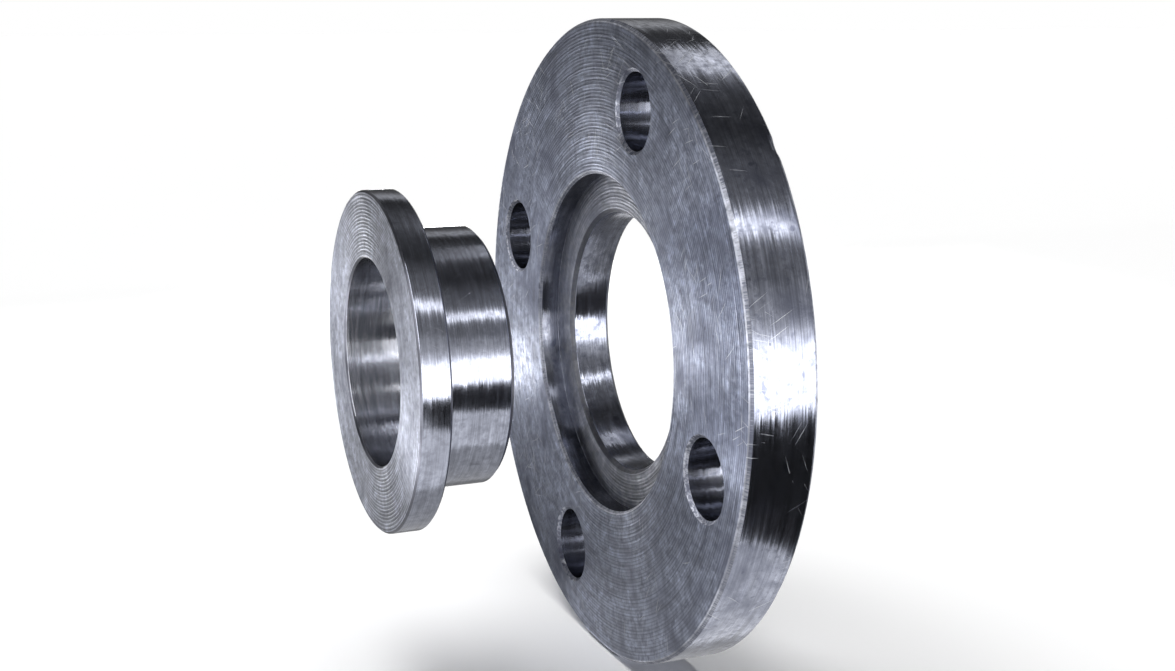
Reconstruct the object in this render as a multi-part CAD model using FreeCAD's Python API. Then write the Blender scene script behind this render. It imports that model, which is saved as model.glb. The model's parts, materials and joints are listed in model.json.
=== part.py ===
import FreeCAD, Part
import math
import os

from FreeCAD import Vector

# Lap joint flange for a 2 inch (50A) pipe line, in millimetres.
#
# The pair is a loose backing flange and a stub end. The stub end is welded to the pipe by its hub.
# Its lap carries the gasket and drops into the recess in the flange, which the bolts pull up behind
# it. The flange stays free to turn on the hub, so its holes line up with those of the other side.
#
# The pipe axis is Y and +Z is up. The gasket side looks along -Y. The origin is the centre of the
# bolt circle, halfway through the flange's thickness.

# Pipe and stub end
pipe_outer_d = 60.5
stub_bore_d = 48.0
stub_length = 24.5
lap_d = 79.0
lap_thickness = 7.2
hub_root_fill = 0.6
stub_edge_break = 0.5
hub_end_break = 1.0

# Gasket finish on the lap: ring grooves of V section that meet in sharp crests, inside plain margins
groove_pitch = 1.2
groove_depth = 0.12
face_margin = 0.5

# Backing flange
flange_d = 155.0
flange_thickness = 16.0
flange_edge_break = 0.9
recess_edge_break = 0.8
bore_front_break = 1.0
bore_back_break = 0.8

# Bolting
bolt_d = 16.0
bolt_count = 4
bolt_circle_d = 120.0
first_bolt_angle = 71.6
bolt_hole_break = 0.8

# Fits: the hub in the flange's bore, the lap in its recess and the bolts in their holes, on the radius
hub_clearance = 1.25
lap_clearance = 1.5
bolt_clearance = 1.0

# The lap stands this far out of the recess, so the gasket never touches the loose flange
lap_proud = 1.8

# The stub end is shown drawn forward, this far from where its lap sits just off the recess floor
seat_gap = 0.3
draw_out = 55.0

# Sizes that follow
hub_r = pipe_outer_d / 2
stub_bore_r = stub_bore_d / 2
lap_r = lap_d / 2
flange_r = flange_d / 2
flange_bore_r = hub_r + hub_clearance
recess_r = lap_r + lap_clearance
recess_depth = lap_thickness - lap_proud
bolt_hole_r = bolt_d / 2 + bolt_clearance

# Places along the axis
flange_front = -flange_thickness / 2
flange_back = flange_front + flange_thickness
recess_floor = flange_front + recess_depth
lap_back = recess_floor - seat_gap - draw_out
lap_front = lap_back - lap_thickness
hub_end = lap_front + stub_length

AXIS = Vector(0, 1, 0)
ORIGIN = Vector(0, 0, 0)


def turned(corners):
    # A solid of revolution about the pipe axis. Each corner of the half section is its radius, its
    # place on the axis and the leg of the 45 degree cut or fill there, 0 where the corner is sharp.
    points = []
    for index, (radius, y, leg) in enumerate(corners):
        corner = Vector(radius, y, 0)
        if leg == 0:
            points.append(corner)
            continue
        for neighbour in (corners[index - 1], corners[(index + 1) % len(corners)]):
            along = Vector(neighbour[0], neighbour[1], 0) - corner
            points.append(corner + along.normalize() * leg)
    outline = Part.makePolygon(points + points[:1])
    return Part.Face(outline).revolve(ORIGIN, AXIS, 360)


def gasket_grooves():
    # Crests and roots of the V grooves across the lap's front, from the outside in. As many grooves
    # are cut as the pitch allows between the margins, and the row is centred on the face.
    inner_r = stub_bore_r + stub_edge_break + face_margin
    outer_r = lap_r - stub_edge_break - face_margin
    count = int((outer_r - inner_r) // groove_pitch)
    first_crest_r = (inner_r + outer_r + count * groove_pitch) / 2
    corners = [(first_crest_r, lap_front, 0)]
    for index in range(count):
        crest_r = first_crest_r - index * groove_pitch
        corners.append((crest_r - groove_pitch / 2, lap_front + groove_depth, 0))
        corners.append((crest_r - groove_pitch, lap_front, 0))
    return corners


def make_stub_end():
    section = [(lap_r, lap_front, stub_edge_break)]
    section += gasket_grooves()
    section += [
        (stub_bore_r, lap_front, stub_edge_break),
        (stub_bore_r, hub_end, stub_edge_break),
        (hub_r, hub_end, hub_end_break),
        (hub_r, lap_back, hub_root_fill),
        (lap_r, lap_back, stub_edge_break),
    ]
    return turned(section)


def bolt_hole(centre):
    # One through hole with both mouths broken at 45 degrees, as a cutter.
    shank = Part.makeCylinder(bolt_hole_r, flange_thickness, centre, AXIS)
    wide_r = bolt_hole_r + bolt_hole_break
    front = Part.makeCone(wide_r, bolt_hole_r, bolt_hole_break, centre, AXIS)
    far_mouth = centre + AXIS * (flange_thickness - bolt_hole_break)
    back = Part.makeCone(bolt_hole_r, wide_r, bolt_hole_break, far_mouth, AXIS)
    return shank.fuse([front, back])


def make_backing_flange():
    blank = turned([
        (flange_r, flange_front, flange_edge_break),
        (recess_r, flange_front, recess_edge_break),
        (recess_r, recess_floor, 0),
        (flange_bore_r, recess_floor, bore_front_break),
        (flange_bore_r, flange_back, bore_back_break),
        (flange_r, flange_back, flange_edge_break),
    ])
    cutters = []
    for index in range(bolt_count):
        angle = math.radians(first_bolt_angle + 360 / bolt_count * index)
        centre = Vector(math.cos(angle), 0, math.sin(angle)) * (bolt_circle_d / 2)
        centre.y = flange_front
        cutters.append(bolt_hole(centre))
    return blank.cut(cutters)


os.makedirs("parts", exist_ok=True)
make_backing_flange().exportStep("parts/backing_flange.step")
make_stub_end().exportStep("parts/stub_end.step")
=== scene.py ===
import bpy
import bmesh
import json
import math
from mathutils import Matrix, Vector
from types import SimpleNamespace


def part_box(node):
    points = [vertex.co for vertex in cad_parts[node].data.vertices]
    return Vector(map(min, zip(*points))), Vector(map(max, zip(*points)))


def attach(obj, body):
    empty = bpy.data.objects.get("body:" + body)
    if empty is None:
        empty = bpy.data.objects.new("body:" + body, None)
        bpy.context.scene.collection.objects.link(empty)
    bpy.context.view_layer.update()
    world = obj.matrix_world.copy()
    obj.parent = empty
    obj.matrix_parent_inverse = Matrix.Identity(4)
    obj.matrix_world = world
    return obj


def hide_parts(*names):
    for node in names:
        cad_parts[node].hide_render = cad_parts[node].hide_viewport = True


# A loose backing flange and its stub end, drawn apart along the pipe axis, which is Y.
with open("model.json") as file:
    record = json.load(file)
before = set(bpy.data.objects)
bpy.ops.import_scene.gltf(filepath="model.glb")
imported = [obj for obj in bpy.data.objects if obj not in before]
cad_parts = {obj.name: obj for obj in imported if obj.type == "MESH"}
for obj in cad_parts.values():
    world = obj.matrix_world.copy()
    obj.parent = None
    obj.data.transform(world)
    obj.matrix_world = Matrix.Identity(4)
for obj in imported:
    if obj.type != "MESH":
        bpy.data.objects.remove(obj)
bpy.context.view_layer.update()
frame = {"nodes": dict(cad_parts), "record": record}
mounts = {mount["name"]: mount for mount in frame["record"]["mounts"]}
flangeLow, flangeHigh = [Vector(corner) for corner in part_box("backing_flange")]
stubLow, stubHigh = [Vector(corner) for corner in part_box("stub_end")]
bolts = mounts["bolt_circle"]["dims"]
boltCircleRadius = bolts["pcd_mm"] / 2000
boreRadius = mounts["flow_bore"]["dims"]["r_mm"] / 1000
print("frame loaded:", len(frame["nodes"]), "pieces")


# Outlines: a half section is a list of (radius, place along the axis), in metres

edgeRounding = 0.00012
roundingSteps = 3
roundingShare = 0.4  # the most that an arc takes of each edge beside it
pathRadius = 0.01  # the sweep's own circle; outlines are measured from it
joinReach = 1e-6  # outline ends this close are joined
weldReach = 2e-7  # points of a finished mesh this close are one
pieceSharpAngle = 8
cutterSharpAngle = 30


def brokenCorners(corners):
    # Each corner is (radius, along, leg). A leg above 0 cuts the corner at 45 degrees.
    outline = []
    for index, (radius, along, leg) in enumerate(corners):
        corner = Vector((radius, along))
        if leg == 0:
            outline.append(corner)
            continue
        for other in (corners[index - 1], corners[(index + 1) % len(corners)]):
            towards = (Vector(other[:2]) - corner).normalized()
            outline.append(corner + towards * leg)
    return outline


def roundedOutline(points):
    # Machined edges are never knife sharp: each corner becomes a small arc, drawn as a quadratic curve.
    rounded = []
    for index, corner in enumerate(points):
        before = points[index - 1] - corner
        after = points[(index + 1) % len(points)] - corner
        reach = min(edgeRounding, before.length * roundingShare, after.length * roundingShare)
        start = corner + before.normalized() * reach
        end = corner + after.normalized() * reach
        for step in range(roundingSteps + 1):
            t = step / roundingSteps
            rounded.append(start * (1 - t) ** 2 + corner * 2 * t * (1 - t) + end * t ** 2)
    return rounded


def outlineObject(name, points, closed):
    mesh = bpy.data.meshes.new(name)
    edges = [(index, index + 1) for index in range(len(points) - 1)]
    if closed:
        edges.append((len(points) - 1, 0))
    mesh.from_pydata([(point.x - pathRadius, point.y, 0) for point in points], edges, [])
    piece = bpy.data.objects.new(name, mesh)
    bpy.context.scene.collection.objects.link(piece)
    return piece


# Node helpers

def addNode(tree, kind, settings=None, inputs=None):
    # Inputs go by name or by number, and take a socket or a plain value.
    node = tree.nodes.new(kind)
    for name, value in (settings or {}).items():
        setattr(node, name, value)
    for name, value in (inputs or {}).items():
        if isinstance(value, bpy.types.NodeSocket):
            tree.links.new(value, node.inputs[name])
        elif value is not None:
            node.inputs[name].default_value = value
    return node


def mathNode(tree, operation, first, second=0.0, third=0.0):
    inputs = {0: first, 1: second, 2: third}
    return addNode(tree, "ShaderNodeMath", {"operation": operation}, inputs).outputs[0]


def oneMinus(tree, value):
    return mathNode(tree, "SUBTRACT", 1.0, value)


def vectorNode(tree, operation, first, second=None, scale=None):
    inputs = {0: first, 1: second, "Scale": scale}
    node = addNode(tree, "ShaderNodeVectorMath", {"operation": operation}, inputs)
    return node.outputs["Value"] if operation in ("DOT_PRODUCT", "LENGTH") else node.outputs["Vector"]


def mixNode(tree, factor, first, second):
    return addNode(tree, "ShaderNodeMix", None, {"Factor": factor, "A": first, "B": second}).outputs[0]


def mixColour(tree, factor, first, second, blend="MIX"):
    settings = {"data_type": "RGBA", "blend_type": blend}
    return addNode(tree, "ShaderNodeMix", settings, {0: factor, 6: first, 7: second}).outputs[2]


def rangeNode(tree, value, low, high, toLow=0.0, toHigh=1.0):
    return addNode(tree, "ShaderNodeMapRange", None, {
        "Value": value, "From Min": low, "From Max": high, "To Min": toLow, "To Max": toHigh,
    }).outputs[0]


def noiseNode(tree, place, scale=1.0, detail=1.0, roughness=0.5, distortion=0.0):
    return addNode(tree, "ShaderNodeTexNoise", None, {
        "Vector": place, "Scale": scale, "Detail": detail, "Roughness": roughness,
        "Distortion": distortion,
    }).outputs["Fac"]


def newTree(name, kind, inputs, outputs):
    tree = bpy.data.node_groups.new(name, kind)
    for label, socketType, value in inputs:
        socket = tree.interface.new_socket(label, in_out="INPUT", socket_type=socketType)
        if value is not None:
            socket.default_value = value
    for label, socketType in outputs:
        tree.interface.new_socket(label, in_out="OUTPUT", socket_type=socketType)
    return tree, tree.nodes.new("NodeGroupInput").outputs, tree.nodes.new("NodeGroupOutput").inputs


# Geometry trees

def finishTree(tree, geometry, given, result):
    finish = addNode(tree, "GeometryNodeSetMaterial", None,
                     {"Geometry": geometry, "Material": given["Finish"]})
    real = addNode(tree, "GeometryNodeRealizeInstances", None, {"Geometry": finish.outputs[0]})
    tree.links.new(real.outputs[0], result[0])


def turningTree():
    # Turns an outline into a solid: the outline is swept round a circle, then laid on the Y axis. A row
    # of grooves can close the outline's two ends.
    tree, given, result = newTree("turnedSolid", "GeometryNodeTree", [
        ("Geometry", "NodeSocketGeometry", None),
        ("Groove Count", "NodeSocketInt", 0),
        ("First Crest", "NodeSocketFloat", 0.0),
        ("Groove Pitch", "NodeSocketFloat", 0.001),
        ("Groove Depth", "NodeSocketFloat", 0.0),
        ("Grooved Face", "NodeSocketFloat", 0.0),
        ("Points Per Groove", "NodeSocketInt", 8),
        ("Path Radius", "NodeSocketFloat", 0.01),
        ("Segments", "NodeSocketInt", 384),
        ("Finish", "NodeSocketMaterial", None),
    ], [("Geometry", "NodeSocketGeometry")])
    stepCount = mathNode(tree, "MULTIPLY", given["Groove Count"], given["Points Per Groove"])
    pointCount = mathNode(tree, "ADD", stepCount, 1.0)
    row = addNode(tree, "GeometryNodeMeshLine", None, {"Count": pointCount})
    index = tree.nodes.new("GeometryNodeInputIndex").outputs[0]
    turns = mathNode(tree, "DIVIDE", index, given["Points Per Groove"])
    inward = mathNode(tree, "MULTIPLY", turns, given["Groove Pitch"])
    radius = mathNode(tree, "SUBTRACT", given["First Crest"], inward)
    offset = mathNode(tree, "SUBTRACT", radius, given["Path Radius"])
    swing = mathNode(tree, "SINE", mathNode(tree, "MULTIPLY", turns, math.pi))
    scallop = mathNode(tree, "ABSOLUTE", swing)
    sunk = mathNode(tree, "MULTIPLY_ADD", scallop, given["Groove Depth"], given["Grooved Face"])
    place = addNode(tree, "ShaderNodeCombineXYZ", None, {"X": offset, "Y": sunk})
    grooves = addNode(tree, "GeometryNodeSetPosition", None,
                      {"Geometry": row.outputs[0], "Position": place.outputs[0]})
    grooved = mathNode(tree, "GREATER_THAN", given["Groove Count"], 0.5)
    chosen = addNode(tree, "GeometryNodeSwitch", {"input_type": "GEOMETRY"},
                     {"Switch": grooved, "True": grooves.outputs[0]})
    joined = tree.nodes.new("GeometryNodeJoinGeometry")
    tree.links.new(given["Geometry"], joined.inputs[0])
    tree.links.new(chosen.outputs[0], joined.inputs[0])
    outline = addNode(tree, "GeometryNodeMergeByDistance", None,
                      {"Geometry": joined.outputs[0], "Distance": joinReach})
    section = addNode(tree, "GeometryNodeMeshToCurve", None, {"Mesh": outline.outputs[0]})
    path = addNode(tree, "GeometryNodeCurvePrimitiveCircle", None,
                   {"Resolution": given["Segments"], "Radius": given["Path Radius"]})
    swept = addNode(tree, "GeometryNodeCurveToMesh", None,
                    {"Curve": path.outputs[0], "Profile Curve": section.outputs[0]})
    laid = addNode(tree, "GeometryNodeTransform", None,
                   {"Geometry": swept.outputs[0], "Rotation": (math.pi / 2, 0, 0)})
    poles = addNode(tree, "GeometryNodeMergeByDistance", None,
                    {"Geometry": laid.outputs[0], "Distance": weldReach})
    finishTree(tree, poles.outputs[0], given, result)
    return tree


def boltHoleTree():
    # Cuts a ring of equal holes: one cutter on each point of the bolt circle.
    tree, given, result = newTree("boltHoles", "GeometryNodeTree", [
        ("Geometry", "NodeSocketGeometry", None),
        ("Cutter", "NodeSocketObject", None),
        ("Hole Count", "NodeSocketInt", 4),
        ("Circle Radius", "NodeSocketFloat", 0.06),
        ("First Angle", "NodeSocketFloat", 0.0),
        ("Finish", "NodeSocketMaterial", None),
    ], [("Geometry", "NodeSocketGeometry")])
    circle = addNode(tree, "GeometryNodeMeshCircle", None,
                     {"Vertices": given["Hole Count"], "Radius": given["Circle Radius"]})
    upright = addNode(tree, "GeometryNodeTransform", None,
                      {"Geometry": circle.outputs[0], "Rotation": (math.pi / 2, 0, 0)})
    back = mathNode(tree, "MULTIPLY", given["First Angle"], -1.0)
    phase = addNode(tree, "ShaderNodeCombineXYZ", None, {"Y": back})
    placed = addNode(tree, "GeometryNodeTransform", None,
                     {"Geometry": upright.outputs[0], "Rotation": phase.outputs[0]})
    cutter = addNode(tree, "GeometryNodeObjectInfo", None, {"Object": given["Cutter"]})
    copies = addNode(tree, "GeometryNodeInstanceOnPoints", None,
                     {"Points": placed.outputs[0], "Instance": cutter.outputs["Geometry"]})
    solid = addNode(tree, "GeometryNodeRealizeInstances", None, {"Geometry": copies.outputs[0]})
    cut = addNode(tree, "GeometryNodeMeshBoolean", {"operation": "DIFFERENCE", "solver": "EXACT"},
                  {"Mesh 1": given["Geometry"], "Mesh 2": solid.outputs[0]})
    finishTree(tree, cut.outputs[0], given, result)
    return tree


def runTree(piece, tree, values):
    # Gives the piece the tree with these inputs and keeps the result as its plain mesh.
    modifier = piece.modifiers.new(tree.name, "NODES")
    modifier.node_group = tree
    sockets = {item.name: item.identifier for item in tree.interface.items_tree if item.in_out == "INPUT"}
    for name, value in values.items():
        modifier[sockets[name]] = value
    shown = piece.evaluated_get(bpy.context.evaluated_depsgraph_get())
    mesh = bpy.data.meshes.new_from_object(shown)
    piece.modifiers.remove(modifier)
    old = piece.data
    piece.data = mesh
    bpy.data.meshes.remove(old)
    mesh.name = piece.name


def tidyNormals(piece, sharpAngle):
    shape = bmesh.new()
    shape.from_mesh(piece.data)
    bmesh.ops.remove_doubles(shape, verts=shape.verts, dist=weldReach)
    bmesh.ops.recalc_face_normals(shape, faces=shape.faces)
    for face in shape.faces:
        face.smooth = True
    shape.to_mesh(piece.data)
    shape.free()
    piece.data.set_sharp_from_angle(angle=math.radians(sharpAngle))


# Finish: what both pieces share is here, and the rest stands in each one's own dictionary

toolMarks = {
    "faceTilt": 0.85,  # the normal's share along the axis above which a surface is a face, not a wall
    "fineWeight": 3.6,  # how much the fine lines tip the normal
    "wideWeight": 1.8,  # and the broad streaks
    "wideShare": 0.6,  # the broad streaks' share of the tone
    "wideStretch": (0.6, 0.22, 0.6),
    "toneRange": (0.35, 0.65),  # noise values of the darkest and the lightest tone
    "crossShift": (31.0, 17.0, 53.0),  # keeps the lean across unlike the lean along
    "driftScale": 0.3,
    "depthScale": 0.9,  # each feed mark has its own depth
    "depthDrift": 1.3,
    "depthGain": 2.0,
    "furrowRange": (-0.1, -1.0),
}
wearMarks = {
    "bendScale": 60.0,
    "bendReach": 0.005,
    "crowdScale": 38.0,  # scratches and ticks crowd together in patches
    "crowdGain": 8.0,
    "crowdStart": -3.0,
    "scratchTurns": (24, 52, 71, 96, 118, 155),  # degrees, one for each layer
    "scratchLengths": (0.030, 0.039, 0.048),
    "scratchPitch": 0.001,
    "scratchShift": (0.31, 0.17),
    "scratchDepth": (1.3, 0.3),
    "scratchMargin": 0.0005,  # none start nearer than this to the inner radius
    "stainRange": (0.46, 0.68),
    "grainScale": 620.0,
    "grainRange": (0.40, 0.72),
    "grainShare": 0.8,
    "spotScale": 320.0,
    "spotRange": (0.72, 0.77),
    "edgeTilt": 0.707,  # the normal's share along the axis on a 45 degree edge
    "edgeSpread": 0.12,
    "tickScale": 230.0,
    "tickCrowd": 0.6,
    "tickRange": (0.68, 0.92),
    "tickLeast": 0.25,
    "speckleScale": 1100.0,
    "speckleRange": (0.44, 0.58),
    "innerReach": 0.0004,
    "stainRoughness": 0.12,
    "scratchRoughness": 0.3,
}


def turnedDirections(tree):
    # On a turned surface the tool ran round the axis. Gives that direction in object space, the place
    # across the marks, and whether the surface is a face or a wall.
    coordinates = tree.nodes.new("ShaderNodeTexCoord").outputs
    position, normal = coordinates["Object"], coordinates["Normal"]
    flat = vectorNode(tree, "MULTIPLY", position, (1, 0, 1))
    radius = vectorNode(tree, "LENGTH", flat)
    outward = vectorNode(tree, "NORMALIZE", flat)
    axial = mathNode(tree, "ABSOLUTE", vectorNode(tree, "DOT_PRODUCT", normal, (0, 1, 0)))
    isFace = mathNode(tree, "GREATER_THAN", axial, toolMarks["faceTilt"])
    split = addNode(tree, "ShaderNodeSeparateXYZ", None, {"Vector": position}).outputs
    base = addNode(tree, "ShaderNodeMix", {"data_type": "VECTOR"},
                   {"Factor": isFace, 4: normal, 5: outward})
    around = vectorNode(tree, "NORMALIZE", vectorNode(tree, "CROSS_PRODUCT", base.outputs[1], (0, 1, 0)))
    return SimpleNamespace(
        position=position, normal=normal, outward=outward, around=around, radius=radius, axial=axial,
        isFace=isFace, across=mixNode(tree, isFace, split["Y"], radius), split=split,
    )


def swingNode(tree, noise, limit):
    # A noise lies about a half, so its swing goes both ways.
    return mathNode(tree, "MULTIPLY", mathNode(tree, "SUBTRACT", noise, 0.5), limit)


def feedMarks(tree, way, given, ring):
    # The ridges that the tool leaves at each turn as it moves across a face. Gives how far they lean the
    # normal, and how dark each furrow between them is, which the steel's colour takes as painted shade.
    drift = noiseNode(tree, vectorNode(tree, "SCALE", ring, scale=toolMarks["driftScale"]))
    fromStart = mathNode(tree, "SUBTRACT", way.radius, given["Feed Start"])
    turns = mathNode(tree, "DIVIDE", fromStart, given["Feed Pitch"])
    depth = addNode(tree, "ShaderNodeTexNoise", {"noise_dimensions": "1D"},
                    {"W": turns, "Scale": toolMarks["depthScale"], "Detail": 2.0}).outputs["Fac"]
    depthDrift = mathNode(tree, "MULTIPLY", given["Feed Drift"], toolMarks["depthDrift"])
    phase = mathNode(tree, "MULTIPLY", turns, 2 * math.pi)
    phase = mathNode(tree, "MULTIPLY_ADD", drift, given["Feed Drift"], phase)
    phase = mathNode(tree, "MULTIPLY_ADD", depth, depthDrift, phase)
    ridge = mathNode(tree, "MULTIPLY", mathNode(tree, "SINE", phase), given["Feed Lean"])
    furrow = rangeNode(tree, mathNode(tree, "COSINE", phase), *toolMarks["furrowRange"])
    strength = mathNode(tree, "MULTIPLY", depth, toolMarks["depthGain"])
    return [mathNode(tree, "MULTIPLY", mark, strength) for mark in (ridge, furrow)]


def turningMarksGroup():
    # Fine tool marks. The normal leans along the marks by a little that differs from line to line,
    # which frays the edge of every reflection, and across them by more.
    tree, given, result = newTree("turningMarks", "ShaderNodeTree", [
        ("Line Spacing", "NodeSocketFloat", 0.0004),
        ("Face Spacing", "NodeSocketFloat", 0.0008),
        ("Lines Around", "NodeSocketFloat", 8.0),
        ("Lean Along", "NodeSocketFloat", 0.02),
        ("Lean Across", "NodeSocketFloat", 0.08),
        ("Face Lean", "NodeSocketFloat", 0.08),
        ("Feed Pitch", "NodeSocketFloat", 0.001),
        ("Feed Lean", "NodeSocketFloat", 0.1),
        ("Feed Start", "NodeSocketFloat", 0.0),
        ("Feed Drift", "NodeSocketFloat", 3.0),
    ], [("Normal", "NodeSocketVector"), ("Streak", "NodeSocketFloat"), ("Furrow", "NodeSocketFloat"),
        ("Face", "NodeSocketFloat")])
    way = turnedDirections(tree)
    spacing = mixNode(tree, way.isFace, given["Line Spacing"], given["Face Spacing"])
    leanLimit = mixNode(tree, way.isFace, given["Lean Across"], given["Face Lean"])
    ring = vectorNode(tree, "SCALE", way.outward, scale=given["Lines Around"])
    lines = mathNode(tree, "DIVIDE", way.across, spacing)
    lift = addNode(tree, "ShaderNodeCombineXYZ", None, {"Y": lines})
    place = vectorNode(tree, "ADD", ring, lift.outputs[0])
    fine = noiseNode(tree, place, detail=2.0, roughness=0.55)
    cross = noiseNode(tree, vectorNode(tree, "ADD", place, toolMarks["crossShift"]))
    stretched = vectorNode(tree, "MULTIPLY", place, toolMarks["wideStretch"])
    wide = noiseNode(tree, stretched, detail=3.0, roughness=0.6)
    leanFine, leanWide = [swingNode(tree, noise, given["Lean Along"]) for noise in (fine, wide)]
    leanAlong = mathNode(tree, "ADD", mathNode(tree, "MULTIPLY", leanFine, toolMarks["fineWeight"]),
                         mathNode(tree, "MULTIPLY", leanWide, toolMarks["wideWeight"]))
    ridge, furrow = feedMarks(tree, way, given, ring)
    leanAcross = mathNode(tree, "MULTIPLY_ADD", ridge, way.isFace, swingNode(tree, cross, leanLimit))
    sideways = vectorNode(tree, "CROSS_PRODUCT", way.normal, way.around)
    leaned = vectorNode(tree, "ADD", way.normal, vectorNode(tree, "SCALE", way.around, scale=leanAlong))
    leaned = vectorNode(tree, "ADD", leaned, vectorNode(tree, "SCALE", sideways, scale=leanAcross))
    world = addNode(tree, "ShaderNodeVectorTransform",
                    {"vector_type": "NORMAL", "convert_from": "OBJECT", "convert_to": "WORLD"},
                    {"Vector": leaned})
    tree.links.new(vectorNode(tree, "NORMALIZE", world.outputs[0]), result["Normal"])
    tree.links.new(mixNode(tree, toolMarks["wideShare"], cross, wide), result["Streak"])
    tree.links.new(mathNode(tree, "MULTIPLY", furrow, way.isFace), result["Furrow"])
    tree.links.new(way.isFace, result["Face"])
    return tree


def scratchLines(tree, way, given, crowd):
    # Scratches are drawn on the surface laid flat: X and Z on a face, arc length and Y on a wall.
    split = way.split
    arc = mathNode(tree, "MULTIPLY", mathNode(tree, "ARCTAN2", split["Z"], split["X"]), way.radius)
    laid = addNode(tree, "ShaderNodeCombineXYZ", None, {
        "X": mixNode(tree, way.isFace, arc, split["X"]),
        "Y": mixNode(tree, way.isFace, split["Y"], split["Z"]),
    }).outputs[0]
    bend = addNode(tree, "ShaderNodeTexNoise", None,
                   {"Vector": way.position, "Scale": wearMarks["bendScale"], "Detail": 0.0})
    reach = vectorNode(tree, "SCALE", bend.outputs["Color"], scale=wearMarks["bendReach"])
    bent = vectorNode(tree, "ADD", laid, reach)
    crowded = mathNode(tree, "MULTIPLY_ADD", crowd, wearMarks["crowdGain"], wearMarks["crowdStart"])
    limit = mathNode(tree, "MULTIPLY", given["Scratch Share"], crowded)
    depthGain, depthLeast = wearMarks["scratchDepth"]
    # Each layer is a field of long thin cells that lie one way. The core of some cells is a scratch.
    total = 0.0
    for layer, turn in enumerate(wearMarks["scratchTurns"]):
        length = wearMarks["scratchLengths"][layer % len(wearMarks["scratchLengths"])]
        x, y = [shift * layer for shift in wearMarks["scratchShift"]]
        placed = addNode(tree, "ShaderNodeMapping", {"vector_type": "TEXTURE"}, {
            "Vector": bent, "Location": (x, y, 0), "Rotation": (0, 0, math.radians(turn)),
            "Scale": (length, wearMarks["scratchPitch"], 1),
        })
        cells = addNode(tree, "ShaderNodeTexVoronoi", {"voronoi_dimensions": "2D"},
                        {"Vector": placed.outputs[0], "Scale": 1.0}).outputs
        core = oneMinus(tree, mathNode(tree, "DIVIDE", cells["Distance"], given["Scratch Width"]))
        picked = addNode(tree, "ShaderNodeSeparateColor", None, {"Color": cells["Color"]}).outputs
        kept = mathNode(tree, "LESS_THAN", picked[0], limit)
        depth = mathNode(tree, "MULTIPLY_ADD", picked[1], depthGain, depthLeast)
        depth = mathNode(tree, "MULTIPLY", kept, depth)
        line = mathNode(tree, "MULTIPLY", mathNode(tree, "MAXIMUM", core, 0.0), depth)
        total = mathNode(tree, "MAXIMUM", total, line)
    margin = mathNode(tree, "ADD", given["Inner Radius"], wearMarks["scratchMargin"])
    outside = mathNode(tree, "GREATER_THAN", way.radius, margin)
    return mathNode(tree, "MULTIPLY", mathNode(tree, "MINIMUM", total, 1.0), outside)


def nearRadius(tree, radius, ring, reach):
    away = mathNode(tree, "ABSOLUTE", mathNode(tree, "SUBTRACT", radius, ring))
    return mathNode(tree, "LESS_THAN", away, reach)


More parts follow.
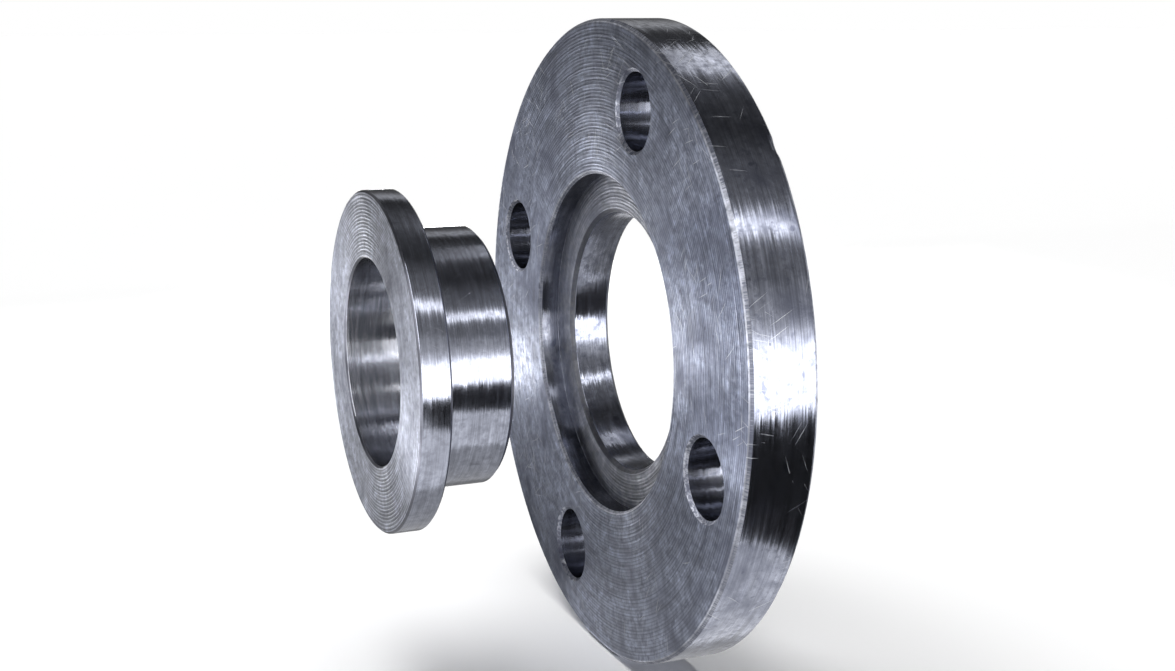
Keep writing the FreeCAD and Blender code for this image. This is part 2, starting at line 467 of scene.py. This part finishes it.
def shopWearGroup():
    # Hairline scratches, dark stains, small spots and the dark ticks along the broken edges.
    # It also gives the masks where the steel's colour paints light and shade: cut edges, hole walls, recess
    # and lip.
    masks = ("Scratches", "Stains", "Spots", "Edges", "Broken", "Drilled", "Inner", "Lip", "Mottle")
    tree, given, result = newTree("shopWear", "ShaderNodeTree", [
        ("Scratch Width", "NodeSocketFloat", 0.12),
        ("Scratch Share", "NodeSocketFloat", 0.3),
        ("Stain Size", "NodeSocketFloat", 0.02),
        ("Hole Ring Radius", "NodeSocketFloat", 1.0),
        ("Hole Reach", "NodeSocketFloat", 0.012),
        ("Inner Radius", "NodeSocketFloat", 0.041),
        ("Inner Floor", "NodeSocketFloat", 0.5),
        ("Inner Wall", "NodeSocketFloat", 1.0),
        ("Edge Start", "NodeSocketFloat", 0.0),
        ("Edge Line", "NodeSocketFloat", 1.0),
        ("Mottle Size", "NodeSocketFloat", 0.004),
    ], [(mask, "NodeSocketFloat") for mask in masks])
    way = turnedDirections(tree)
    position, radius = way.position, way.radius
    crowd = noiseNode(tree, position, wearMarks["crowdScale"])

    stainScale = mathNode(tree, "DIVIDE", 1.0, given["Stain Size"])
    cloud = noiseNode(tree, position, stainScale, detail=5.0, roughness=0.62, distortion=0.6)
    cloud = rangeNode(tree, cloud, *wearMarks["stainRange"])
    grain = noiseNode(tree, position, wearMarks["grainScale"], detail=2.0, roughness=0.6)
    grain = rangeNode(tree, grain, *wearMarks["grainRange"])
    stains = mathNode(tree, "MAXIMUM", cloud, mathNode(tree, "MULTIPLY", grain, wearMarks["grainShare"]))
    spots = noiseNode(tree, position, wearMarks["spotScale"], distortion=0.4)
    spots = rangeNode(tree, spots, *wearMarks["spotRange"])
    patchScale = mathNode(tree, "DIVIDE", 1.0, given["Mottle Size"])
    mottle = noiseNode(tree, position, patchScale, detail=3.0, roughness=0.6, distortion=0.5)

    # Edges cut at 45 degrees. Those nearer the axis than Edge Start are the lip.
    slope = mathNode(tree, "ABSOLUTE", mathNode(tree, "SUBTRACT", way.axial, wearMarks["edgeTilt"]))
    sloped = mathNode(tree, "LESS_THAN", slope, wearMarks["edgeSpread"])
    edge = mathNode(tree, "MULTIPLY", sloped, mathNode(tree, "GREATER_THAN", radius, given["Edge Start"]))
    # The walls of the drilled holes are the walls near the circle that the holes stand on; the hole colour
    # paints shade on them.
    wall = mathNode(tree, "SUBTRACT", oneMinus(tree, way.isFace), edge)
    nearHoles = nearRadius(tree, radius, given["Hole Ring Radius"], given["Hole Reach"])
    drilled = mathNode(tree, "MULTIPLY", nearHoles, wall)

    ticks = noiseNode(tree, vectorNode(tree, "SCALE", way.outward, scale=wearMarks["tickScale"]))
    uneven = mathNode(tree, "MULTIPLY_ADD", crowd, wearMarks["tickCrowd"], ticks)
    # The ticks stop short of the face, which leaves a thin bright line of the edge's painted highlight
    # beside it.
    beforeLine = mathNode(tree, "LESS_THAN", mathNode(tree, "ABSOLUTE", way.split["Y"]), given["Edge Line"])
    tick = rangeNode(tree, uneven, *wearMarks["tickRange"], toLow=wearMarks["tickLeast"])
    dark = mathNode(tree, "MULTIPLY", tick, beforeLine)
    speckle = noiseNode(tree, position, wearMarks["speckleScale"])
    speckle = rangeNode(tree, speckle, *wearMarks["speckleRange"])
    marked = mathNode(tree, "MAXIMUM", dark, mathNode(tree, "MULTIPLY", speckle, nearHoles))

    # Inner: the recess's floor and wall, where the flange's inner colour is painted shade.
    nearInner = nearRadius(tree, radius, given["Inner Radius"], wearMarks["innerReach"])
    nearWall = mathNode(tree, "MULTIPLY", nearInner, wall)
    innerWall = mathNode(tree, "MULTIPLY", nearWall, given["Inner Wall"])
    within = mathNode(tree, "LESS_THAN", radius, given["Inner Radius"])
    inside = mathNode(tree, "MULTIPLY", way.isFace, within)
    inner = mathNode(tree, "MULTIPLY_ADD", inside, given["Inner Floor"], innerWall)

    scratches = mathNode(tree, "MULTIPLY", scratchLines(tree, way, given, crowd), oneMinus(tree, drilled))
    edges = mathNode(tree, "MULTIPLY", edge, marked)
    # The lip is the bore's chamfers, which take the inner colour as painted shade on the flange.
    lip = mathNode(tree, "SUBTRACT", sloped, edge)
    for mask, value in zip(masks, (scratches, stains, spots, edges, edge, drilled, inner, lip, mottle)):
        tree.links.new(value, result[mask])
    return tree


marksGroup = turningMarksGroup()
wearGroup = shopWearGroup()


def groupNode(tree, group, look):
    # Each input of the group takes the value that has its name in the look: "Feed Pitch", feedPitch.
    node = addNode(tree, "ShaderNodeGroup", {"node_tree": group})
    for socket in node.inputs:
        socket.default_value = look[socket.name[0].lower() + socket.name[1:].replace(" ", "")]
    return node.outputs


def steelColour(tree, look, marks, wear, stained, scratched):
    toneRange = toolMarks["toneRange"]
    streaks = rangeNode(tree, marks["Streak"], *toneRange, 1 - look["streaks"], 1 + look["streaks"])
    patches = rangeNode(tree, wear["Mottle"], *toneRange, -1.0, 1.0)
    patchDepth = mixNode(tree, marks["Face"], look["wallMottle"], look["mottle"])
    tone = mathNode(tree, "MULTIPLY", streaks, mathNode(tree, "MULTIPLY_ADD", patches, patchDepth, 1.0))
    # Painted shade: each furrow between the feed marks is darkened.
    shaded = oneMinus(tree, mathNode(tree, "MULTIPLY", marks["Furrow"], look["furrows"]))
    tone = mathNode(tree, "MULTIPLY", tone, shaded)
    grey = addNode(tree, "ShaderNodeCombineColor", None, {"Red": tone, "Green": tone, "Blue": tone})
    colour = mixColour(tree, marks["Face"], look["wallColour"], look["faceColour"])
    # Painted shade: on the flange the recess and the bore's chamfers take the dark inner colour.
    innerMask = mathNode(tree, "MAXIMUM", wear["Inner"], wear["Lip"])
    # Painted shade: the walls of the bolt holes take the dark hole colour.
    # The cut edges take a painted highlight on the flange and painted shade on the stub.
    for mask, part in ((wear["Broken"], "edgeColour"), (wear["Drilled"], "holeColour"),
                       (innerMask, "innerColour")):
        colour = mixColour(tree, mask, colour, look[part])
    colour = mixColour(tree, 1.0, colour, grey.outputs[0], "MULTIPLY")
    spots = mathNode(tree, "MULTIPLY", wear["Spots"], look["spots"])
    ticks = mathNode(tree, "MULTIPLY", wear["Edges"], look["edgeTicks"])
    for mask in (stained, spots, ticks):
        colour = mixColour(tree, mask, colour, look["stainColour"])
    return mixColour(tree, scratched, colour, look["scratchColour"])


def steelRoughness(tree, look, marks, wear, stained, scratched):
    rough = mixNode(tree, marks["Face"], look["wallRoughness"], look["faceRoughness"])
    innerWall = mathNode(tree, "MULTIPLY", wear["Inner"], oneMinus(tree, marks["Face"]))
    for mask, part in ((wear["Drilled"], "holeRoughness"), (innerWall, "innerRoughness"),
                       (wear["Broken"], "edgeRoughness"), (wear["Lip"], "edgeRoughness")):
        rough = mixNode(tree, mask, rough, look[part])
    rough = mathNode(tree, "ADD", swingNode(tree, marks["Streak"], look["roughSpread"]), rough)
    rough = mathNode(tree, "MULTIPLY_ADD", stained, wearMarks["stainRoughness"], rough)
    return mathNode(tree, "MULTIPLY_ADD", scratched, wearMarks["scratchRoughness"], rough)


def turnedSteel(name, look):
    material = bpy.data.materials.new(name)
    material.use_nodes = True
    tree = material.node_tree
    marks, wear = groupNode(tree, marksGroup, look), groupNode(tree, wearGroup, look)
    stained = mathNode(tree, "MULTIPLY", wear["Stains"], look["stains"])
    scratched = mathNode(tree, "MULTIPLY", wear["Scratches"], look["scratches"])
    # Scratches and cut edges are rough, so they turn a little matt.
    dull = mathNode(tree, "MAXIMUM", mathNode(tree, "MULTIPLY", scratched, look["scratchDullness"]),
                    mathNode(tree, "MULTIPLY", wear["Broken"], look["edgeDullness"]))
    around = addNode(tree, "ShaderNodeTangent", {"direction_type": "RADIAL", "axis": "Y"})
    shader = tree.nodes["Principled BSDF"].inputs
    tree.links.new(steelColour(tree, look, marks, wear, stained, scratched), shader["Base Color"])
    tree.links.new(steelRoughness(tree, look, marks, wear, stained, scratched), shader["Roughness"])
    tree.links.new(oneMinus(tree, dull), shader["Metallic"])
    tree.links.new(marks["Normal"], shader["Normal"])
    tree.links.new(around.outputs[0], shader["Tangent"])
    shader["Anisotropic"].default_value = look["anisotropic"]
    shader["Anisotropic Rotation"].default_value = look["grainTurn"]
    return material


print("steel finish built")


# Pieces

turnedSolid = turningTree()
boltHoles = boltHoleTree()


def turnedPiece(name, outline, closed, segments, finish, sharpAngle, grooves=None):
    piece = outlineObject(name, outline, closed)
    values = {"Path Radius": pathRadius, "Segments": segments, "Finish": finish}
    runTree(piece, turnedSolid, {**(grooves or {}), **values})
    tidyNormals(piece, sharpAngle)
    return piece


flange = {
    "recessRadius": 0.041,
    "recessDepth": 0.0054,
    "boreRadius": 0.0315,
    "rimBreak": 0.0009,
    "recessBreak": 0.0008,
    "boreFrontBreak": 0.0010,
    "boreBackBreak": 0.0008,
    "holeBreak": 0.0008,
    "firstHoleAngle": 71.6,
    "nickAngle": 42.0,
    "nickWidth": 1.9,
    "nickDepth": 0.0005,
    "nickLength": 0.0014,
    "nickInset": 0.0012,
    "segments": 384,
    "holeSegments": 96,
    # How its steel looks
    "wallColour": (0.39, 0.41, 0.49, 1),
    "faceColour": (0.355, 0.388, 0.50, 1),
    "edgeColour": (0.66, 0.68, 0.76, 1),  # painted highlight on the edges cut at 45 degrees, partly bright wear
    "holeColour": (0.23, 0.24, 0.28, 1),  # painted shade on the walls of the bolt holes
    "innerColour": (0.20, 0.205, 0.225, 1),  # painted shade inside the recess and on the bore's chamfers
    "stainColour": (0.12, 0.13, 0.18, 1),
    "scratchColour": (0.75, 0.77, 0.82, 1),
    "lineSpacing": 0.00035,  # between tool marks on the walls
    "faceSpacing": 0.00045,  # and on the faces
    "linesAround": 5.0,  # how often a mark changes on its way round
    "leanAlong": 0.034,  # how far the marks tip the normal along their run
    "leanAcross": 0.08,  # and across it, on the walls
    "faceLean": 0.20,  # and across it, on the faces
    "streaks": 0.30,  # how much the marks differ in tone
    "mottleSize": 0.0035,
    "mottle": 0.30,
    "wallMottle": 0.14,
    "wallRoughness": 0.155,
    "faceRoughness": 0.31,
    "holeRoughness": 0.17,
    "innerRoughness": 0.13,
    "edgeRoughness": 0.55,
    "innerFloor": 0.8,  # share of the inner colour's painted shade on the recess's floor
    "innerWall": 0.6,  # and on its wall
    "holeReach": 0.012,  # walls this near the bolt circle are those of the holes
    "feedPitch": 0.00082,  # the tool's step at each turn across a face
    "feedLean": 0.10,
    "feedStart": 0.0,
    "feedDrift": 3.0,  # how far the ridges wander
    "furrows": 0.36,  # painted shade: how dark each furrow between them is
    "roughSpread": 0.10,
    "anisotropic": 0.9,
    "grainTurn": 0.25,  # a quarter turn lays the long reflections across the marks
    "scratchWidth": 0.095,
    "scratchShare": 0.18,  # how many of the cells hold a scratch
    "scratches": 0.9,
    "scratchDullness": 0.3,
    "stainSize": 0.018,
    "stains": 0.85,
    "spots": 0.7,
    "edgeTicks": 0.8,  # how dark the ticks on the cut edges are
    "edgeDullness": 0.15,
    "edgeStart": 0.036,  # cut edges nearer the axis take the inner colour: painted shade on the bore's chamfers
    "edgeLine": 0.0077,  # the ticks stop this far from the middle plane
}
flangeSteel = turnedSteel("flangeSteel", {
    **flange, "innerRadius": flange["recessRadius"], "holeRingRadius": boltCircleRadius,
})


def nickBackEdge(piece):
    # A small dent in the rim's back edge that reaches nickWidth degrees to each side.
    for vertex in piece.data.vertices:
        place = vertex.co
        radius = math.hypot(place.x, place.z)
        turn = abs(math.degrees(math.atan2(place.z, place.x)) - flange["nickAngle"]) / flange["nickWidth"]
        atBack = place.y > flangeHigh.y - flange["nickLength"]
        atRim = radius > flangeHigh.x - flange["nickInset"]
        if turn < 1 and atBack and atRim:
            shrink = 1 - flange["nickDepth"] * (1 - turn ** 2) / radius
            place.x *= shrink
            place.z *= shrink


def makeBackingFlange():
    front, back = flangeLow.y, flangeHigh.y
    floor = front + flange["recessDepth"]
    corners = brokenCorners([
        (flangeHigh.x, front, flange["rimBreak"]),
        (flange["recessRadius"], front, flange["recessBreak"]),
        (flange["recessRadius"], floor, 0),
        (flange["boreRadius"], floor, flange["boreFrontBreak"]),
        (flange["boreRadius"], back, flange["boreBackBreak"]),
        (flangeHigh.x, back, flange["rimBreak"]),
        (flangeHigh.x, back - 2 * flange["rimBreak"], 0),  # holds the nick to the back edge
    ])
    piece = turnedPiece("backingFlange", roundedOutline(corners), True, flange["segments"], flangeSteel,
                        pieceSharpAngle)

    holeRadius, holeBreak = bolts["hole_r_mm"] / 1000, flange["holeBreak"]
    # The cutter's mouths widen at 45 degrees and run on past each face by as much as the break.
    mouthRadius = holeRadius + 2 * holeBreak
    cutterOutline = [Vector(corner) for corner in (
        (0, front - holeBreak),
        (mouthRadius, front - holeBreak),
        (holeRadius, front + holeBreak),
        (holeRadius, back - holeBreak),
        (mouthRadius, back + holeBreak),
        (0, back + holeBreak),
    )]
    cutter = turnedPiece("boltHoleCutter", cutterOutline, False, flange["holeSegments"], flangeSteel,
                         cutterSharpAngle)
    runTree(piece, boltHoles, {
        "Cutter": cutter, "Hole Count": bolts["count"], "Circle Radius": boltCircleRadius,
        "First Angle": math.radians(flange["firstHoleAngle"]), "Finish": flangeSteel,
    })
    nickBackEdge(piece)
    tidyNormals(piece, pieceSharpAngle)
    bpy.data.objects.remove(cutter)
    return piece


stub = {
    "boreBreak": 0.0005,
    "rimBreak": 0.0005,
    "hubEndBreak": 0.0010,
    "rootFill": 0.0006,
    "hubRadius": 0.03025,
    "lapThickness": 0.0072,
    "faceMargin": 0.0005,
    "groovePitch": 0.0008,
    "grooveDepth": 0.00007,
    "pointsPerGroove": 8,
    "segments": 320,
    # How its steel looks
    "wallColour": (0.40, 0.42, 0.50, 1),
    "faceColour": (0.55, 0.575, 0.67, 1),
    # Painted shade along the stub's cut edges and in the corner at the lap's root.
    "edgeColour": (0.20, 0.205, 0.24, 1),
    "holeColour": (0.40, 0.42, 0.50, 1),
    "innerColour": (0.52, 0.53, 0.57, 1),
    "stainColour": (0.14, 0.145, 0.18, 1),
    "scratchColour": (0.75, 0.77, 0.82, 1),
    "lineSpacing": 0.00024,
    "faceSpacing": 0.0006,
    "linesAround": 4.0,
    "leanAlong": 0.024,
    "leanAcross": 0.07,
    "faceLean": 0.06,
    "streaks": 0.26,
    "mottleSize": 0.0024,
    "mottle": 0.22,
    "wallMottle": 0.04,
    "wallRoughness": 0.16,
    "faceRoughness": 0.44,
    "holeRoughness": 0.30,
    "innerRoughness": 0.17,
    "edgeRoughness": 0.34,
    "innerFloor": 0.5,
    "innerWall": 1.0,
    "holeRingRadius": 1.0,  # far outside the piece, which has no drilled holes
    "holeReach": 0.0,
    "feedPitch": 0.0008,
    "feedLean": 0.0,
    "feedStart": 0.03815,
    "feedDrift": 0.0,
    # Painted shade in each furrow between the real grooves.
    "furrows": 0.55,
    "roughSpread": 0.10,
    "anisotropic": 0.82,
    "grainTurn": 0.25,
    "scratchWidth": 0.09,
    "scratchShare": 0.07,
    "scratches": 0.2,
    "scratchDullness": 0.3,
    "stainSize": 0.012,
    "stains": 0.6,
    "spots": 0.35,
    "edgeTicks": 0.3,
    "edgeDullness": 0.0,
    "edgeStart": 0.0,
    "edgeLine": 1.0,
}
stubSteel = turnedSteel("stubSteel", {**stub, "innerRadius": boreRadius})


def makeStubEnd():
    front, back = stubLow.y, stubHigh.y
    lapRadius = stubHigh.x
    lapBack = front + stub["lapThickness"]
    outerMargin = lapRadius - stub["rimBreak"] - stub["faceMargin"]
    innerMargin = boreRadius + stub["boreBreak"] + stub["faceMargin"]
    grooveCount = int((outerMargin - innerMargin) / stub["groovePitch"])
    firstCrest = (outerMargin + innerMargin + grooveCount * stub["groovePitch"]) / 2
    lastCrest = firstCrest - grooveCount * stub["groovePitch"]
    corners = brokenCorners([
        (boreRadius, front, stub["boreBreak"]),
        (boreRadius, back, stub["boreBreak"]),
        (stub["hubRadius"], back, stub["hubEndBreak"]),
        (stub["hubRadius"], lapBack, stub["rootFill"]),
        (lapRadius, lapBack, stub["rimBreak"]),
        (lapRadius, front, stub["rimBreak"]),
    ])
    outline = [Vector((lastCrest, front))] + roundedOutline(corners) + [Vector((firstCrest, front))]
    piece = turnedPiece("stubEnd", outline, False, stub["segments"], stubSteel, pieceSharpAngle, {
        "Groove Count": grooveCount, "First Crest": firstCrest, "Groove Pitch": stub["groovePitch"],
        "Groove Depth": stub["grooveDepth"], "Grooved Face": front,
        "Points Per Groove": stub["pointsPerGroove"],
    })
    print("gasket grooves:", grooveCount)
    return piece


backingFlange = makeBackingFlange()
stubEnd = makeStubEnd()
for piece, node, body, slot in (
    (backingFlange, "backing_flange", "flange", "flange_steel"),
    (stubEnd, "stub_end", "stub", "stub_steel"),
):
    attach(piece, body)
    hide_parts(node)
    print(piece.name, "triangles:", sum(len(face.vertices) - 2 for face in piece.data.polygons))


# Stage: pale floor, a soft lamp that lights it, and the room that the metal reflects

stage = {
    "floorHalf": 9.0,
    "floorColour": (0.93, 0.93, 0.93, 1),
    "floorRoughness": 0.9,
    "floorShine": 0.1,
    "lampStrength": 3.3,
    "lampAngle": 48.0,
    "lampDirection": (0.25, 0.2, -1.0),
    "fillLevel": 0.08,
    "drumRadius": 0.6,
    "drumHalfLength": 0.9,
    "endLevel": 0.3,
    # What the room shows at each angle about the pipe axis, from +X towards +Z: bright window low on
    # the right, one thin strip light above it, dim ceiling, a small patch on the far left.
    "roomLevels": (
        (-7.2, 4.0), (6.0, 4.0), (8.5, 2.5), (11.0, 1.4), (15.0, 0.8), (19.0, 0.6), (24.0, 0.5),
        (28.0, 0.25), (33.0, 0.24), (39.0, 0.25), (41.5, 0.5), (43.0, 2.9), (47.5, 2.9), (49.0, 0.7),
        (52.0, 0.25),
        (66.0, 0.17), (74.0, 0.09), (80.0, 0.05), (98.0, 0.09), (108.0, 0.14), (120.0, 0.12),
        (134.0, 0.04), (141.0, 0.05), (145.0, 0.45), (150.0, 0.5), (156.0, 0.2), (161.0, 0.08),
        (187.2, 0.06),
    ),
    # Cards that lie on the floor, each a step over the one before: name, level and corners.
    "cardStep": 0.0005,
    "floorCards": (
        ("paleCard", 1.05, ((-0.55, -0.24), (0.325, -0.24), (0.325, 0.5), (-0.55, 0.5))),
        ("dimCard", 0.4, ((-0.59, -0.89), (0.03, -0.89), (0.03, -0.28), (-0.59, -0.24))),
        ("halfShadeCard", 0.5, ((-0.05, -0.13), (0.04, -0.13), (0.04, 0.02), (-0.05, 0.02))),
        ("frontPool", 3.5, ((-0.02, -0.5), (0.325, -0.5), (0.325, -0.27), (-0.02, -0.27))),
        ("hotPool", 5.0, ((-0.05, -0.2), (0.05, -0.2), (0.05, -0.13), (-0.05, -0.13))),
        ("shadeCard", 0.22, ((-0.245, -0.13), (-0.04, -0.13), (-0.04, 0.03), (0.03, 0.035), (0.04, 0.16),
                             (-0.14, 0.16), (-0.14, -0.01), (-0.245, -0.01))),
        # The black card is a painted shadow: a dark sheet where the metal sees the pieces' shadow on the
        # floor.
        ("blackCard", 0.01, ((0.032, 0.062), (0.088, 0.026), (0.143, -0.035), (0.31, -0.09), (0.32, 0.48),
                             (0.12, 0.48), (0.05, 0.16))),
        ("windowPool", 4.0, ((0.325, -0.3), (0.59, -0.3), (0.59, 0.6), (0.325, 0.6))),
        ("leftPool", 1.1, ((-0.30, -0.145), (-0.42, -0.145), (-0.42, -0.29), (-0.30, -0.29))),
        ("nearPool", 1.6, ((-0.14, -0.15), (-0.30, -0.15), (-0.30, -0.29), (-0.14, -0.29))),
        ("cornerPool", 1.4, ((-0.42, -0.20), (-0.48, -0.20), (-0.46, -0.32), (-0.36, -0.32),
                             (-0.42, -0.26))),
        ("sidePool", 9.0, ((-0.36, -0.12), (-0.25, -0.12), (-0.25, 0.0), (-0.36, 0.0))),
        ("farPool", 14.0, ((-0.58, 0.02), (-0.42, 0.02), (-0.42, 0.3), (-0.58, 0.3))),
    ),
    # Cards in the room: name, level, both ends in the XZ plane and the span along the axis.
    "roomCards": (
        ("leftWindow", 16.0, (-0.58, -0.0775), (-0.58, 0.01), (0.0, 0.4)),
        ("leftFront", 1.3, (-0.585, -0.0775), (-0.57, 0.12), (-0.65, -0.32)),
        ("frontCeiling", 4.5, (0.55, 0.2), (0.14, 0.57), (-0.88, -0.25)),
        ("ceilingPatch", 1.4, (-0.1725, 0.5642), (-0.3299, 0.4891), (0.21, 0.5)),
        ("boreShade", 0.04, (-0.20, -0.0775), (-0.20, 0.005), (0.05, 0.13)),
    ),
}


def addStage(name, vertices, faces, material):
    mesh = bpy.data.meshes.new(name)
    mesh.from_pydata(vertices, [], faces)
    mesh.materials.append(material)
    made = bpy.data.objects.new(name, mesh)
    bpy.context.scene.collection.objects.link(made)
    return made


def hideCard(card):
    # Only reflections see it. It throws no light on the floor or the pieces, and no shadow.
    card.visible_camera = False
    card.visible_diffuse = False
    card.visible_shadow = False
    card.visible_transmission = False


def makeFloor():
    material = bpy.data.materials.new("paleFloor")
    material.use_nodes = True
    shader = material.node_tree.nodes["Principled BSDF"]
    shader.inputs["Base Color"].default_value = stage["floorColour"]
    shader.inputs["Roughness"].default_value = stage["floorRoughness"]
    shader.inputs["Specular IOR Level"].default_value = stage["floorShine"]
    half, low = stage["floorHalf"], flangeLow.z
    addStage("floor", [(-half, -half, low), (half, -half, low), (half, half, low), (-half, half, low)],
             [(0, 1, 2, 3)], material)


def makeLamp():
    lamp = bpy.data.lights.new("softLamp", "SUN")
    lamp.energy = stage["lampStrength"]
    lamp.angle = math.radians(stage["lampAngle"])
    holder = bpy.data.objects.new("softLamp", lamp)
    holder.rotation_euler = Vector(stage["lampDirection"]).to_track_quat("-Z", "Y").to_euler()
    holder.visible_glossy = False  # the metal mirrors the room, not the lamp
    bpy.context.scene.collection.objects.link(holder)


def glowMaterial(name, level):
    # Plain light of one level, or of the level stored on each vertex of the card.
    material = bpy.data.materials.new(name)
    material.use_nodes = True
    tree = material.node_tree
    tree.nodes.clear()
    if level is None:
        level = addNode(tree, "ShaderNodeAttribute", {"attribute_name": "level"}).outputs["Fac"]
    glow = addNode(tree, "ShaderNodeEmission", None, {"Strength": level})
    out = tree.nodes.new("ShaderNodeOutputMaterial")
    tree.links.new(glow.outputs[0], out.inputs["Surface"])
    return material


def makeRoom():
    radius, half = stage["drumRadius"], stage["drumHalfLength"]
    vertices, levels = [], []
    for angle, level in stage["roomLevels"]:
        x, z = math.cos(math.radians(angle)) * radius, math.sin(math.radians(angle)) * radius
        vertices += [(x, -half, z), (x, half, z)]
        levels += [level, level]
    count = len(stage["roomLevels"])
    faces = [(2 * index, 2 * index + 1, 2 * index + 3, 2 * index + 2) for index in range(count - 1)]
    room = addStage("roomWalls", vertices, faces, glowMaterial("roomGlow", None))
    stored = room.data.attributes.new("level", "FLOAT", "POINT")
    stored.data.foreach_set("value", levels)
    hideCard(room)
    ends = glowMaterial("endGlow", stage["endLevel"])
    for side, label in ((0, "roomEndNear"), (1, "roomEndFar")):
        rim = [vertices[2 * index + side] for index in range(count)]
        hideCard(addStage(label, rim, [tuple(range(count))], ends))


def makeCard(name, corners, level):
    hideCard(addStage(name, corners, [tuple(range(len(corners)))], glowMaterial(name + "Glow", level)))


def makeCards():
    for count, (name, level, corners) in enumerate(stage["floorCards"], 1):
        low = flangeLow.z + stage["cardStep"] * count
        makeCard(name, [(x, y, low) for x, y in corners], level)
    # A room card runs between two places in the XZ plane and spans a length of the pipe axis.
    for name, level, (x0, z0), (x1, z1), (near, far) in stage["roomCards"]:
        makeCard(name, [(x0, near, z0), (x1, near, z1), (x1, far, z1), (x0, far, z0)], level)


def makeWorld():
    world = bpy.data.worlds.new("studio")
    world.use_nodes = True
    tree = world.node_tree
    path = tree.nodes.new("ShaderNodeLightPath").outputs
    seen = mathNode(tree, "MAXIMUM", path["Is Camera Ray"], path["Is Glossy Ray"])
    seen = mathNode(tree, "MAXIMUM", seen, path["Is Transmission Ray"])
    level = addNode(tree, "ShaderNodeMapRange", None, {"Value": seen, "To Min": stage["fillLevel"]})
    back = tree.nodes["Background"]
    back.inputs["Color"].default_value = (1, 1, 1, 1)
    tree.links.new(level.outputs[0], back.inputs["Strength"])
    bpy.context.scene.world = world


makeFloor()
makeLamp()
makeRoom()
makeCards()
makeWorld()
print("stage set")


# Camera

view = {
    "place": Vector((0.35804, -0.15950, 0.08050)),
    "right": Vector((0.38283, 0.92382, 0.0)),
    "up": Vector((-0.18312, 0.07588, 0.98016)),
    "lens": 50.06,
    "sensor": 36.0,
    "nearClip": 0.01,
    "farClip": 50.0,
}


def makeCamera():
    data = bpy.data.cameras.new("camera")
    data.lens = view["lens"]
    data.sensor_width = view["sensor"]
    data.clip_start = view["nearClip"]
    data.clip_end = view["farClip"]
    camera = bpy.data.objects.new("camera", data)
    back = view["right"].cross(view["up"]).normalized()
    turn = Matrix((view["right"], view["up"], back)).transposed().to_4x4()
    camera.matrix_world = Matrix.Translation(view["place"]) @ turn
    bpy.context.scene.collection.objects.link(camera)
    bpy.context.scene.camera = camera


makeCamera()
bpy.context.scene.view_settings.view_transform = "Standard"
print("camera set")
